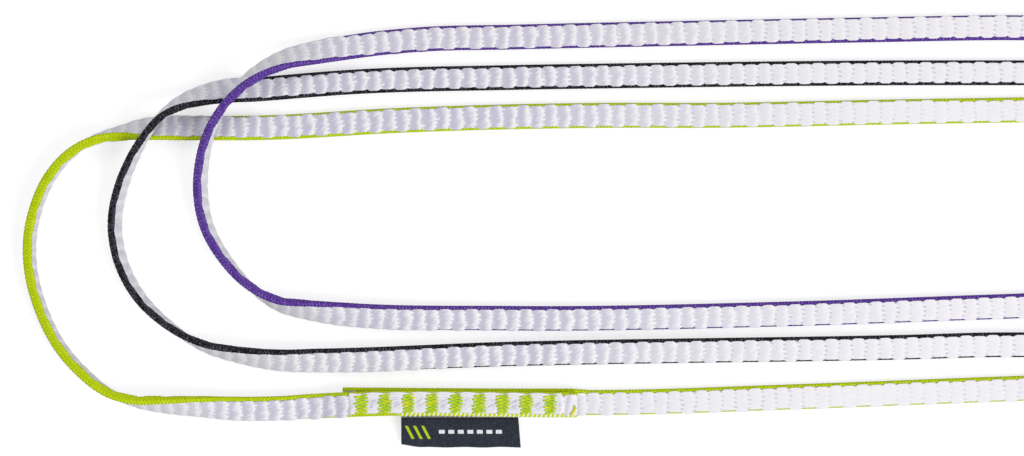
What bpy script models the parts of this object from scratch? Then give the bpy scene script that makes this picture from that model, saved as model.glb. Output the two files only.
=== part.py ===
"""Three sewn slings of narrow polyethylene webbing, laid over one another.

Each sling is one strip of flat tape. It runs once round a long loop, its two ends lap, and nine bar
tacks sew the lapped plies together. Both edges of the tape are a coloured selvedge. The green sling
lies lowest and carries a folded woven label in its seam, the black one lies over it, and the purple
one over both. At its round ends a tape stands on edge, and along the runs it lies flat.

Metres, +Z up. The origin is the middle of the footprint, on the surface that the slings lie on.
"""

import math
from collections import namedtuple

import bmesh
import bpy
from mathutils import Matrix, Vector

MM = 0.001

# Tape: a white core between two selvedges
TAPE_WIDTH = 8.0 * MM
TAPE_THICKNESS = 2.5 * MM
CORE_CHAMFER = 0.15 * MM
SELVEDGE_WIDTH = 0.7 * MM
SELVEDGE_THICKNESS = 2.2 * MM
SEAT_GAP = 0.35 * MM

# Seam: the gap between two plies, and the bar tacks counted from the cut end of the upper ply
PLY_GAP = 0.3 * MM
TACK_COUNT = 9
TACK_PITCH = 7.5 * MM
FIRST_TACK = 8.8 * MM
TACK_ALONG = 3.0 * MM
TACK_ACROSS = 4.8 * MM
TACK_TOOTH = 0.5 * MM
TACK_TEETH = 6
TACK_THICKNESS = 0.35 * MM
TACK_SINK = 0.05 * MM
UNDER_ACROSS = 2.8 * MM
LEG_ACROSS = 2.2 * MM
LEG_THICKNESS = 0.5 * MM
LEG_SPREAD = 0.75 * MM
TACK_CLEARANCE = 0.3 * MM

# Label: a folded flag, and the hem of it that is caught between the plies
LABEL_WIDTH = 37.4 * MM
LABEL_LENGTH = 9.3 * MM
LABEL_FROM_END = 18.7 * MM
LABEL_LEAF = 0.3 * MM
LABEL_SLIT = 0.15 * MM
LABEL_DROOP = 2.4 * MM
LABEL_BENDS = 8
FOLD_BENDS = 4
HEM_THICKNESS = 0.4 * MM
HEM_DEPTH = 3.5 * MM
HEM_GAP = 0.5 * MM

# How high the upper ply lies over the surface, with and without the label's hem under it
PLAIN_LAP = TAPE_THICKNESS + PLY_GAP
LABEL_LAP = TAPE_THICKNESS + HEM_THICKNESS + 2 * PLY_GAP

# A tape's rings between two points of its route, the weight of every curve point, how far a cut runs
# past what it cuts, and the side of the cube that every box is scaled from
RINGS_PER_SPAN = 2
POINT_WEIGHT = 1.0
OVERRUN = 1.0 * MM
CUBE_SIDE = 1.0

WHITE = (0.84, 0.83, 0.87)
GREEN = (0.37, 0.60, 0.005)
BLACK = (0.010, 0.012, 0.019)
PURPLE = (0.070, 0.023, 0.25)
SLATE = (0.040, 0.050, 0.062)

# Routes of the three tapes, from the cut end of the upper ply round to the cut end of the lower one:
# x and y in millimetres, the height of the tape's lowest line over the surface in millimetres, and its
# lean in degrees. Lean 0 is flat with the outer face up, and 90 stands with the inner selvedge up.
GREEN_LAP_MM = LABEL_LAP / MM
PLAIN_LAP_MM = PLAIN_LAP / MM
GREEN_ROUTE = [
    (-117.4, -55.4, GREEN_LAP_MM, 0), (-189.4, -55.4, GREEN_LAP_MM, 0), (-201.0, -56.0, 1.0, 8),
    (-211.8, -56.5, 0, 24), (-225.3, -56.6, 0, 28), (-238.1, -55.9, 0, 46), (-249.9, -55.4, 0, 62),
    (-259.2, -54.4, 0, 78), (-267.2, -51.4, 0, 88), (-275.2, -45.1, 0, 93), (-282.5, -36.5, 0, 94),
    (-288.2, -25.1, 0, 94), (-291.4, -13.3, 0, 94), (-291.8, -2.4, 0, 94), (-289.8, 7.3, 0, 94),
    (-285.8, 16.4, 0, 93), (-279.6, 23.9, 0, 90), (-271.7, 28.9, 0, 82), (-262.4, 31.2, 0, 66),
    (-253.4, 32.3, 0, 34), (-241.3, 32.6, 0, 19), (-218.9, 32.8, 0, 9), (-174.1, 35.2, 0, 3),
    (-108.0, 36.8, 0, 0), (-76.0, 36.8, 0, 0), (-10.2, 38.0, 0, 0), (145.9, 39.7, 0, 4),
    (199.4, 39.5, 0, 12), (225.0, 37.6, 0, 36), (242.3, 30.6, 0, 66), (254.4, 17.4, 0, 86),
    (259.5, 0.8, 0, 92), (257.3, -15.8, 0, 88), (247.7, -31.2, 0, 68), (231.1, -41.1, 0, 38),
    (204.2, -45.0, 0, 12), (173.8, -46.2, 0, 4), (25.6, -50.4, 0, 0), (-52.5, -53.3, 0, 0),
    (-103.7, -54.9, 0, 0), (-113.3, -55.0, 0, 0), (-192.3, -54.7, 0, 0),
]
BLACK_ROUTE = [
    (65.9, 51.0, PLAIN_LAP_MM, 0), (142.1, 51.0, PLAIN_LAP_MM, 0), (155.5, 50.9, 0.6, 3),
    (206.7, 48.5, 0, 14), (229.1, 47.2, 0, 36), (250.6, 39.5, 0, 66), (266.2, 23.8, 0, 86),
    (273.6, 2.7, 0, 92), (271.0, -19.7, 0, 88), (258.6, -38.9, 0, 68), (238.7, -51.0, 0, 36),
    (209.9, -55.2, 0, 12), (155.5, -55.5, 0, 2), (128.3, -54.2, 3.1, 0), (94.7, -50.4, 3.1, 0),
    (59.5, -41.3, 3.1, 0), (38.7, -36.9, 1.1, 3), (21.1, -36.5, 0, 5), (-14.1, -37.3, 0, 6),
    (-138.2, -39.4, 0, 10), (-199.7, -41.2, 0, 30), (-212.5, -41.1, 0, 43), (-224.5, -39.6, 0, 60),
    (-236.6, -36.7, 0, 76), (-247.9, -30.1, 0, 91), (-257.7, -20.3, 0, 99), (-263.5, -8.2, 0, 101),
    (-264.9, 3.4, 0, 101), (-263.0, 13.0, 1.2, 100), (-259.1, 22.1, 4.2, 97), (-254.7, 29.4, 6.9, 90),
    (-249.7, 36.0, 6.1, 81), (-243.8, 40.2, 3.9, 66), (-237.3, 42.6, 1.9, 48), (-229.8, 44.2, 0.7, 28),
    (-218.9, 45.1, 0.1, 13), (-190.1, 47.4, 0, 7), (-138.2, 48.9, 0, 2), (-100.0, 49.5, 0, 0),
    (-10.2, 50.4, 0, 0), (30.7, 50.4, 0, 0), (142.1, 50.4, 0, 0),
]
PURPLE_ROUTE = [
    (91.5, 64.3, PLAIN_LAP_MM, 0), (167.7, 64.3, PLAIN_LAP_MM, 0), (180.5, 64.2, 0.6, 3),
    (213.1, 61.0, 0, 12), (241.9, 57.1, 0, 34), (266.9, 47.5, 0, 64), (285.4, 29.6, 0, 86),
    (294.1, 4.0, 0, 92), (290.9, -22.2, 0, 88), (276.5, -44.6, 0, 68), (253.1, -59.7, 0, 34),
    (224.3, -64.2, 0.6, 10), (198.7, -60.6, 3.2, 1), (171.5, -50.4, 3.3, 0), (144.3, -38.2, 3.3, 0),
    (120.3, -29.3, 1.2, 3), (94.7, -24.5, 0, 4), (59.5, -23.0, 0, 5), (17.9, -24.3, 0, 6),
    (-52.5, -26.7, 0, 7), (-138.2, -28.0, 0, 10), (-190.1, -26.6, 0, 32), (-202.2, -25.3, 0, 50),
    (-213.2, -23.1, 0, 70), (-222.3, -17.3, 0, 88), (-229.7, -9.0, 0, 98), (-235.2, 0.7, 0.2, 101),
    (-237.4, 12.2, 1.2, 102), (-236.6, 21.9, 3.4, 100), (-234.7, 29.3, 5.4, 95),
    (-231.3, 36.6, 6.6, 88), (-226.7, 43.0, 6.9, 79), (-220.0, 49.2, 5.3, 66), (-210.9, 54.0, 3.0, 50),
    (-200.0, 56.6, 1.2, 30), (-186.9, 59.0, 0.3, 12), (-167.7, 61.0, 0, 8), (-138.2, 61.8, 0, 4),
    (-78.1, 63.1, 0, 1), (-20.0, 64.2, 0, 0), (17.9, 64.8, 0, 0), (75.5, 63.7, 0, 0),
    (167.7, 63.7, 0, 0),
]

Station = namedtuple("Station", "centre across lean")
Seam = namedtuple("Seam", "end way turn lift")


def clear_scene():
    for thing in list(bpy.data.objects):
        bpy.data.objects.remove(thing)


def collection(name):
    made = bpy.data.collections.new(name)
    bpy.context.scene.collection.children.link(made)
    return made


def material(name, colour, roughness):
    made = bpy.data.materials.new(name)
    made.use_nodes = True
    shader = made.node_tree.nodes["Principled BSDF"]
    shader.inputs["Base Color"].default_value = (*colour, 1.0)
    shader.inputs["Roughness"].default_value = roughness
    shader.inputs["Metallic"].default_value = 0.0
    return made


def add_object(name, data, home, finish=None):
    made = bpy.data.objects.new(name, data)
    home.objects.link(made)
    if finish is not None:
        data.materials.clear()
        data.materials.append(finish)
    return made


def add_empty(name, place, home, parent=None):
    made = bpy.data.objects.new(name, None)
    made.location = place if parent is None else Vector(place) - parent.matrix_world.translation
    made.parent = parent
    home.objects.link(made)
    bpy.context.view_layer.update()
    return made


def hang_on(piece, empty):
    """Parent a piece to an empty and leave it where it is."""
    piece.parent = empty
    piece.matrix_parent_inverse = empty.matrix_world.inverted()


def round_slopes(values, gaps):
    """Slopes of a smooth curve through unevenly spaced values."""
    rates = [(b - a) / gap for a, b, gap in zip(values, values[1:], gaps)]
    inner = [
        (before * g_after + after * g_before) / (g_before + g_after)
        for before, after, g_before, g_after in zip(rates, rates[1:], gaps, gaps[1:])
    ]
    return [rates[0], *inner, rates[-1]]


def held_slopes(values, gaps):
    """Slopes of a curve that never swings past its own values, for height and lean."""
    rates = [(b - a) / gap for a, b, gap in zip(values, values[1:], gaps)]
    inner = []
    for before, after, g_before, g_after in zip(rates, rates[1:], gaps, gaps[1:]):
        near, far = 2 * g_after + g_before, g_after + 2 * g_before
        same_way = before * after > 0
        inner.append((near + far) / (near / before + far / after) if same_way else 0.0)
    return [0.0, *inner, 0.0]


def on_span(start, stop, slope_in, slope_out, gap, t):
    """A value at share t of the span between two points, on the curve with those slopes."""
    square, cube = t * t, t * t * t
    return (
        (2 * cube - 3 * square + 1) * start
        + (cube - 2 * square + t) * gap * slope_in
        + (3 * square - 2 * cube) * stop
        + (cube - square) * gap * slope_out
    )


def smooth(route):
    """Rows x, y, lift and lean on a smooth curve through the route's points, in metres and radians."""
    rows = [(x * MM, y * MM, lift * MM, math.radians(lean)) for x, y, lift, lean in route]
    gaps = [math.dist(a[:2], b[:2]) for a, b in zip(rows, rows[1:])]
    columns = list(zip(*rows))
    slopes = [round_slopes(c, gaps) for c in columns[:2]] + [held_slopes(c, gaps) for c in columns[2:]]
    found = []
    for i, gap in enumerate(gaps):
        for step in range(RINGS_PER_SPAN):
            t = step / RINGS_PER_SPAN
            found.append([
                on_span(c[i], c[i + 1], s[i], s[i + 1], gap, t) for c, s in zip(columns, slopes)
            ])
    found.append(list(rows[-1]))
    return found


def stations(route):
    """Centre, across direction (outer to inner selvedge) and lean of the tape along its route."""
    rows = smooth(route)
    plan = [Vector((x, y, 0.0)) for x, y, _, _ in rows]
    ways = [(b - a).normalized() for a, b in zip(plan, plan[1:])]
    found = []
    for i, (x, y, lift, lean) in enumerate(rows):
        way = (ways[max(i - 1, 0)] + ways[min(i, len(ways) - 1)]).normalized()
        inward = Vector((way.y, -way.x, 0.0))
        rise = TAPE_WIDTH / 2 * abs(math.sin(lean)) + TAPE_THICKNESS / 2 * abs(math.cos(lean))
        across = math.cos(lean) * inward + Vector((0.0, 0.0, math.sin(lean)))
        found.append(Station(Vector((x, y, lift + rise)), across, lean))
    return found


def outline_curve(name, corners, home):
    """A closed flat outline that a tape's curve takes as its section."""
    data = bpy.data.curves.new(name, "CURVE")
    data.dimensions = "2D"
    spline = data.splines.new("POLY")
    spline.points.add(len(corners) - 1)
    for point, (x, y) in zip(spline.points, corners):
        point.co = (x, y, 0.0, POINT_WEIGHT)
    spline.use_cyclic_u = True
    guide = add_object(name, data, home)
    guide.hide_render = True
    guide.display_type = "WIRE"
    return guide


def core_outline():
    half = TAPE_WIDTH / 2 - SELVEDGE_WIDTH - SEAT_GAP
    top = TAPE_THICKNESS / 2
    corner = [(half - CORE_CHAMFER, top), (half, top - CORE_CHAMFER)]
    inner_side = corner + [(x, -y) for x, y in reversed(corner)]
    return inner_side + [(-x, -y) for x, y in inner_side]


def selvedge_outline(side):
    """A round-backed section whose flat side faces the core; side is 1 for the inner selvedge."""
    crown, shoulder = SELVEDGE_WIDTH, SELVEDGE_WIDTH * 2 / 3
    half = SELVEDGE_THICKNESS / 2
    back = [(0.0, half), (shoulder, half * 3 / 4), (crown, 0.0), (shoulder, -half * 3 / 4), (0.0, -half)]
    return [(side * x, y) for x, y in back][::side]


def swept(name, line, offset, outline, home, finish):
    """A curve along the stations, moved across the tape by offset, with the outline as its section."""
    data = bpy.data.curves.new(name, "CURVE")
    data.dimensions = "3D"
    data.twist_mode = "Z_UP"
    data.bevel_mode = "OBJECT"
    data.bevel_object = outline
    data.use_fill_caps = True
    data.render_resolution_u = 0
    spline = data.splines.new("POLY")
    spline.points.add(len(line) - 1)
    for point, station in zip(spline.points, line):
        point.co = (*(station.centre + offset * station.across), POINT_WEIGHT)
        point.tilt = -station.lean
    spline.use_smooth = True
    return add_object(name, data, home, finish)


def as_mesh(curve_object, home):
    """The same piece as a mesh with its caps welded on, so that it can be cut."""
    name = curve_object.name
    finish = curve_object.data.materials[0]
    bpy.context.view_layer.update()
    graph = bpy.context.evaluated_depsgraph_get()
    mesh = bpy.data.meshes.new_from_object(curve_object.evaluated_get(graph))
    place = curve_object.matrix_world.copy()
    bpy.data.objects.remove(curve_object)
    build = bmesh.new()
    build.from_mesh(mesh)
    bmesh.ops.remove_doubles(build, verts=build.verts, dist=SEAT_GAP / 10)
    build.to_mesh(mesh)
    build.free()
    made = add_object(name, mesh, home, finish)
    made.matrix_world = place
    return made


def add_box(build, size, place):
    """A box of that size, centred on place, in a bmesh."""
    made = bmesh.ops.create_cube(build, size=CUBE_SIDE)["verts"]
    bmesh.ops.scale(build, vec=[length / CUBE_SIDE for length in size], verts=made)
    bmesh.ops.translate(build, vec=place, verts=made)


def boolean(piece, operation, cutter):
    step = piece.modifiers.new(f"{operation.lower()}_{cutter.name}", "BOOLEAN")
    step.operation = operation
    step.solver = "EXACT"
    step.object = cutter


def seam_of(line, lift):
    """Where the upper ply's cut end lies, the way the lap runs from it, and its turn from +X."""
    way = (line[RINGS_PER_SPAN].centre - line[0].centre).normalized()
    return Seam(line[0].centre, way, math.atan2(way.y, way.x), lift)


def tack_places(seam):
    for k in range(TACK_COUNT):
        place = seam.end + (FIRST_TACK + k * TACK_PITCH) * seam.way
        yield Vector((place.x, place.y, 0.0))


def tack_levels(seam):
    """Heights of a bar tack's upper and lower faces over the surface."""
    return seam.lift + TAPE_THICKNESS - TACK_SINK, TACK_SINK


def tack_outline():
    """The bar's outline: thread fingers reach out along the tape on both sides."""
    pitch = TACK_ACROSS / TACK_TEETH
    tip, root = TACK_ALONG / 2, TACK_ALONG / 2 - TACK_TOOTH
    side = [(root, -TACK_ACROSS / 2)]
    for k in range(TACK_TEETH):
        low = -TACK_ACROSS / 2 + k * pitch
        side += [(tip, low + pitch / 2), (root, low + pitch)]
    return side + [(-x, -y) for x, y in side]


def flat_outline(name, corners, thickness, home):
    """A flat piece of that outline, centred on its own plane."""
    data = bpy.data.curves.new(name, "CURVE")
    data.dimensions = "2D"
    data.fill_mode = "BOTH"
    data.extrude = thickness / 2
    data.render_resolution_u = 0
    spline = data.splines.new("POLY")
    spline.points.add(len(corners) - 1)
    for point, (x, y) in zip(spline.points, corners):
        point.co = (x, y, 0.0, POINT_WEIGHT)
    spline.use_cyclic_u = True
    return add_object(name, data, home)


def tack_mesh(name, seam, finish, helpers):
    """One bar tack at the origin: the bar over the seam, the bar under it and the two thread legs."""
    top, bottom = tack_levels(seam)
    bar = flat_outline(f"{name}_bar", tack_outline(), TACK_THICKNESS, helpers)
    bar.location.z = top - TACK_THICKNESS / 2
    bar.data.materials.append(finish)
    body = as_mesh(bar, helpers)
    build = bmesh.new()
    under = (TACK_ALONG, UNDER_ACROSS, TACK_THICKNESS)
    add_box(build, under, (0.0, 0.0, bottom + TACK_THICKNESS / 2))
    lower = bpy.data.meshes.new(f"{name}_under")
    build.to_mesh(lower)
    build.free()
    under_bar = add_object(f"{name}_under", lower, helpers)
    legs = bpy.data.meshes.new(f"{name}_legs")
    build = bmesh.new()
    height = top - bottom - TACK_THICKNESS
    for side in (-1, 1):
        place = (side * LEG_SPREAD, 0.0, (top + bottom) / 2)
        add_box(build, (LEG_THICKNESS, LEG_ACROSS, height), place)
    build.to_mesh(legs)
    build.free()
    leg_pair = add_object(f"{name}_legs", legs, helpers)
    boolean(leg_pair, "UNION", under_bar)
    boolean(leg_pair, "UNION", body)
    bpy.context.view_layer.update()
    graph = bpy.context.evaluated_depsgraph_get()
    mesh = bpy.data.meshes.new_from_object(leg_pair.evaluated_get(graph))
    mesh.name = name
    mesh.materials.clear()
    mesh.materials.append(finish)
    for used in (leg_pair, under_bar, body):
        bpy.data.objects.remove(used)
    return mesh


def cutter_object(name, build, home):
    mesh = bpy.data.meshes.new(name)
    build.to_mesh(mesh)
    build.free()
    made = add_object(name, mesh, home)
    made.hide_render = True
    made.display_type = "WIRE"
    return made


def seat_cutters(name, seam, cutters):
    """The recesses that the bars lie in and the slots that their legs pass through, for all tacks."""
    top, bottom = tack_levels(seam)
    recess = TACK_THICKNESS + TACK_CLEARANCE
    wide = 2 * TACK_CLEARANCE
    seats, slots = bmesh.new(), bmesh.new()
    for place in tack_places(seam):
        turn = Matrix.Translation(place) @ Matrix.Rotation(seam.turn, 4, "Z")
        piece = bmesh.new()
        over = (TACK_ALONG + wide, TACK_ACROSS + wide, recess + OVERRUN)
        add_box(piece, over, (0.0, 0.0, top + (OVERRUN - recess) / 2))
        under = (TACK_ALONG + wide, UNDER_ACROSS + wide, recess + OVERRUN)
        add_box(piece, under, (0.0, 0.0, bottom - (OVERRUN - recess) / 2))
        join_into(seats, piece, turn)
        piece = bmesh.new()
        for side in (-1, 1):
            size = (LEG_THICKNESS + wide, LEG_ACROSS + wide, top - bottom)
            add_box(piece, size, (side * LEG_SPREAD, 0.0, (top + bottom) / 2))
        join_into(slots, piece, turn)
    return cutter_object(f"{name}_seats", seats, cutters), cutter_object(f"{name}_slots", slots, cutters)


def join_into(whole, piece, turn):
    """Move a piece's shapes by turn and put them into the whole."""
    bmesh.ops.transform(piece, matrix=turn, verts=piece.verts)
    mesh = bpy.data.meshes.new("shape")
    piece.to_mesh(mesh)
    piece.free()
    whole.from_mesh(mesh)
    bpy.data.meshes.remove(mesh)


def build_sling(name, route, lift, colour, parts, cutters, parent):
    """One sling: core, two selvedges and nine bar tacks, all hung on an empty at its seam."""
    line = stations(route)
    seam = seam_of(line, lift)
    yarn = material(f"{name}_polyamide", colour, 0.75)
    white = material(f"{name}_polyethylene", WHITE, 0.6)
    thread = material(f"{name}_thread", colour, 0.7)

    core = swept(f"{name}_tape", line, 0.0, outline_curve(f"{name}_core_section", core_outline(), cutters),
                 parts, white)
    core = as_mesh(core, parts)
    cuts = seat_cutters(name, seam, cutters)
    for cutter in cuts:
        boolean(core, "DIFFERENCE", cutter)

    pieces = [core]
    seat = TAPE_WIDTH / 2 - SELVEDGE_WIDTH
    for side, label in ((1, "inner"), (-1, "outer")):
        section = outline_curve(f"{name}_{label}_section", selvedge_outline(side), cutters)
        pieces.append(swept(f"{name}_{label}_edge", line, side * seat, section, parts, yarn))

    tack = tack_mesh(f"{name}_tack", seam, thread, parts)
    for k, place in enumerate(tack_places(seam)):
        made = add_object(f"{name}_bartack_{k + 1}", tack, parts)
        made.location = place
        made.rotation_euler.z = seam.turn
        pieces.append(made)

    sling = add_empty(f"{name}_sling", seam.end, parts, parent)
    bpy.context.view_layer.update()
    for piece in pieces:
        hang_on(piece, sling)
    return sling, seam, cuts


def label_frame(seam):
    """Middle of the label's sewn edge, the way the flag stands out, and the way the seam runs."""
    outward = Vector((-seam.way.y, seam.way.x, 0.0))
    middle = seam.end + (LABEL_FROM_END + LABEL_WIDTH / 2) * seam.way
    level = TAPE_THICKNESS + PLY_GAP + HEM_THICKNESS / 2
    edge = Vector((middle.x, middle.y, level)) + TAPE_WIDTH / 2 * outward
    return edge, outward


def build_hem(seam, slots, parts, finish):
    """The label's hem: a strip between the plies, slotted where the legs of the tacks pass."""
    edge, outward = label_frame(seam)
    build = bmesh.new()
    add_box(build, (LABEL_WIDTH, HEM_DEPTH, HEM_THICKNESS), (0.0, 0.0, 0.0))
    mesh = bpy.data.meshes.new("label_hem")
    build.to_mesh(mesh)
    build.free()
    hem = add_object("label_hem", mesh, parts, finish)
    hem.location = edge - HEM_DEPTH / 2 * outward
    hem.rotation_euler.z = seam.turn
    boolean(hem, "DIFFERENCE", slots)
    return hem


def flag_path():
    """The folded flag's middle line, seen from its end: out along one leaf, round the fold and back."""
    half_gap = (LABEL_LEAF + LABEL_SLIT) / 2
    reach = LABEL_LENGTH - half_gap - LABEL_LEAF / 2
    shares = [k / LABEL_BENDS for k in range(LABEL_BENDS + 1)]
    middle = [(share * reach, -LABEL_DROOP * share * share) for share in shares]
    over = [(out, height + half_gap) for out, height in middle]
    under = [(out, height - half_gap) for out, height in reversed(middle)]
    angles = [math.pi / 2 - math.pi * k / FOLD_BENDS for k in range(1, FOLD_BENDS)]
    fold = [
        (reach + half_gap * math.cos(a), -LABEL_DROOP + half_gap * math.sin(a)) for a in angles
    ]
    return over + fold + under


def build_flag(seam, parts, finish):
    """The label's flag: a folded sheet with thickness, its origin on the line that it bends about."""
    edge, outward = label_frame(seam)
    build = bmesh.new()
    row = [build.verts.new((-LABEL_WIDTH / 2, out, height)) for out, height in flag_path()]
    edges = [build.edges.new(pair) for pair in zip(row, row[1:])]
    made = bmesh.ops.extrude_edge_only(build, edges=edges)["geom"]
    moved = [v for v in made if isinstance(v, bmesh.types.BMVert)]
    bmesh.ops.translate(build, vec=(LABEL_WIDTH, 0.0, 0.0), verts=moved)
    mesh = bpy.data.meshes.new("label")
    build.to_mesh(mesh)
    build.free()
    flag = add_object("label", mesh, parts, finish)
    wall = flag.modifiers.new("leaf", "SOLIDIFY")
    wall.thickness = LABEL_LEAF
    wall.offset = 0.0
    flag.location = edge + HEM_GAP * outward
    flag.rotation_euler.z = math.atan2(outward.y, outward.x) - math.pi / 2
    return flag


def main():
    clear_scene()
    parts = collection("sling_set")
    cutters = collection("cutters_and_sections")
    green, seam, cuts = build_sling("green", GREEN_ROUTE, LABEL_LAP, GREEN, parts, cutters, None)
    woven = material("label_weave", SLATE, 0.85)
    hang_on(build_hem(seam, cuts[1], parts, woven), green)
    flag = build_flag(seam, parts, woven)
    bpy.context.view_layer.update()
    bend = add_empty("label_flex", flag.matrix_world.translation, parts, green)
    hang_on(flag, bend)
    black, _, _ = build_sling("black", BLACK_ROUTE, PLAIN_LAP, BLACK, parts, cutters, green)
    build_sling("purple", PURPLE_ROUTE, PLAIN_LAP, PURPLE, parts, cutters, black)


main()
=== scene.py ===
import math
import random

import bmesh
import bpy
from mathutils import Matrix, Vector


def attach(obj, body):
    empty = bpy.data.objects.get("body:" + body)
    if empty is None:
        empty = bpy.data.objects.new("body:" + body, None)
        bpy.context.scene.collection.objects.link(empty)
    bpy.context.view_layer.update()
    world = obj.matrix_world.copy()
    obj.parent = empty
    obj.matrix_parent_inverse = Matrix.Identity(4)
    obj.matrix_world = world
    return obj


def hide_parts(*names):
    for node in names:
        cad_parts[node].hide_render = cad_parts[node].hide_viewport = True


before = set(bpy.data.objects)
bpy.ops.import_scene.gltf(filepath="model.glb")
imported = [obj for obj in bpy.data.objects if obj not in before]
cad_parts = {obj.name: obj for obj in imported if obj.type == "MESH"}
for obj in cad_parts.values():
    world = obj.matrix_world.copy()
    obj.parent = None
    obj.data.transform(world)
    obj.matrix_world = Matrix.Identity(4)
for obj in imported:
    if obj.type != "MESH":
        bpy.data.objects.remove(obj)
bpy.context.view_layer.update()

mm = 0.001
up = Vector((0, 0, 1))
scene = bpy.context.scene
weld = 0.001 * mm

# the setting of a node that the second word of its kind stands for
nodeModes = {
    "Math": "operation",
    "VectorMath": "operation",
    "MapRange": "interpolation_type",
    "Mix": "data_type",
}


# small tools

def linearColour(hexText):
    parts = [int(hexText[i:i + 2], 16) / 255 for i in (1, 3, 5)]
    return (*[c / 12.92 if c <= 0.04045 else ((c + 0.055) / 1.055) ** 2.4 for c in parts], 1.0)


def addNode(tree, kind, settings=None, links=None):
    # one node, such as "Math ADD", with its settings and links; gives its outputs
    kind, _, mode = kind.partition(" ")
    node = tree.nodes.new("ShaderNode" + kind)
    if mode:
        setattr(node, nodeModes[kind], mode)
    for key, value in (settings or {}).items():
        if isinstance(key, str) and hasattr(node, key):
            setattr(node, key, value)
        else:
            node.inputs[key].default_value = value
    for key, source in (links or {}).items():
        tree.links.new(source, node.inputs[key])
    return node.outputs


def newMaterial(name, roughness, gloss):
    material = bpy.data.materials.new(name)
    material.use_nodes = True
    tree = material.node_tree
    shader = tree.nodes["Principled BSDF"]
    shader.inputs["Roughness"].default_value = roughness
    shader.inputs["Specular IOR Level"].default_value = gloss
    return material, tree, shader


def meshFrom(build, name, material):
    mesh = bpy.data.meshes.new(name)
    build.to_mesh(mesh)
    build.free()
    mesh.materials.append(material)
    return mesh


def closeSkin(build):
    bmesh.ops.remove_doubles(build, verts=build.verts, dist=weld)
    bmesh.ops.holes_fill(build, edges=[e for e in build.edges if e.is_boundary], sides=0)
    bmesh.ops.recalc_face_normals(build, faces=build.faces)


def finishPiece(name, mesh, body, replaced=()):
    # a piece at the origin that moves with a body and stands for the nodes it replaces
    mesh.shade_smooth()
    piece = bpy.data.objects.new(name, mesh)
    scene.collection.objects.link(piece)
    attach(piece, body)
    if replaced:
        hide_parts(*replaced)
    return piece


def eased(value, low, high):
    t = min(max((value - low) / (high - low), 0), 1)
    return t * t * (3 - 2 * t)


def readOff(marks, place):
    # a share read off a row of places and shares, held beyond its ends
    if place <= marks[0][0]:
        return marks[0][1]
    for (a, p), (b, q) in zip(marks, marks[1:]):
        if place < b:
            return p + (q - p) * (place - a) / (b - a)
    return marks[-1][1]


# the camera straight above, left of the slings' middle, and the studio round it

studio = {
    "pixel": 0.32 * mm,
    "imageWidth": 1024,
    "centre": (-138.24 * mm, 0.8 * mm),
    "height": 1000 * mm,
    "sensor": 36,
    "nearest": 0.01,
    "floorSize": 6,
    "floorDrop": 0.3 * mm,
    "floorHex": "#C4C4C4",
    "floorGlow": 0.62,
    "seenHex": "#FFFFFF",
    "skyHex": "#F8F8FC",
    "skyStrength": 0.5,
    # name, place in metres, size in metres, watts
    "lamps": [
        ("softboxRight", (0.95, -0.9, 1.3), 1.2, 20.5),
        ("softboxFar", (-0.5, 1.1, 1.7), 1.2, 8),
    ],
}

cameraData = bpy.data.cameras.new("camera")
cameraData.sensor_width = studio["sensor"]
cameraData.lens = studio["sensor"] * studio["height"] / (studio["imageWidth"] * studio["pixel"])
cameraData.clip_start = studio["nearest"]
camera = bpy.data.objects.new("camera", cameraData)
camera.location = (*studio["centre"], studio["height"])
scene.collection.objects.link(camera)
scene.camera = camera
scene.view_settings.view_transform = "Standard"


def straightToEye(tree):
    # 1 where the eye sees a surface itself, in a gloss or through glass
    path = addNode(tree, "LightPath")
    seen = path["Is Camera Ray"]
    for ray in ("Is Glossy Ray", "Is Transmission Ray"):
        seen = addNode(tree, "Math MAXIMUM", links={0: seen, 1: path[ray]})[0]
    return seen


# matt emulsion paint, rolled: an even white that only the soft shadows break
floorPaint, tree, shader = newMaterial("rolledMattPaint", roughness=0.9, gloss=0.3)
shader.inputs["Base Color"].default_value = linearColour(studio["floorHex"])
shader.inputs["Emission Color"].default_value = linearColour(studio["seenHex"])
glow = addNode(tree, "Math MULTIPLY", {1: studio["floorGlow"]}, {0: straightToEye(tree)})
tree.links.new(glow[0], shader.inputs["Emission Strength"])
build = bmesh.new()
bmesh.ops.create_grid(build, x_segments=1, y_segments=1, size=studio["floorSize"] / 2)
bmesh.ops.translate(build, vec=(0, 0, -studio["floorDrop"]), verts=build.verts)
floor = bpy.data.objects.new("floor", meshFrom(build, "floor", floorPaint))
scene.collection.objects.link(floor)

world = bpy.data.worlds.new("studio")
world.use_nodes = True
scene.world = world
tree = world.node_tree
sky = tree.nodes["Background"]
seen = straightToEye(tree)
tints = {6: linearColour(studio["skyHex"]), 7: linearColour(studio["seenHex"])}
tint = addNode(tree, "Mix RGBA", tints, {0: seen})
strengths = {1: 1 - studio["skyStrength"], 2: studio["skyStrength"]}
strength = addNode(tree, "Math MULTIPLY_ADD", strengths, {0: seen})
tree.links.new(tint[2], sky.inputs["Color"])
tree.links.new(strength[0], sky.inputs["Strength"])

for name, place, size, watts in studio["lamps"]:
    lamp = bpy.data.lights.new(name, "AREA")
    lamp.shape = "DISK"
    lamp.size = size
    lamp.energy = watts
    holder = bpy.data.objects.new(name, lamp)
    holder.location = place
    holder.rotation_euler = (-Vector(place)).to_track_quat("-Z", "Y").to_euler()
    scene.collection.objects.link(holder)
print("camera and studio ready")


# the tapes' routes: x, y and the height of the tape's lowest line in millimetres, lean in degrees;
# from the cut end of the upper ply round to the cut end of the lower one, as in the solids

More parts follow.
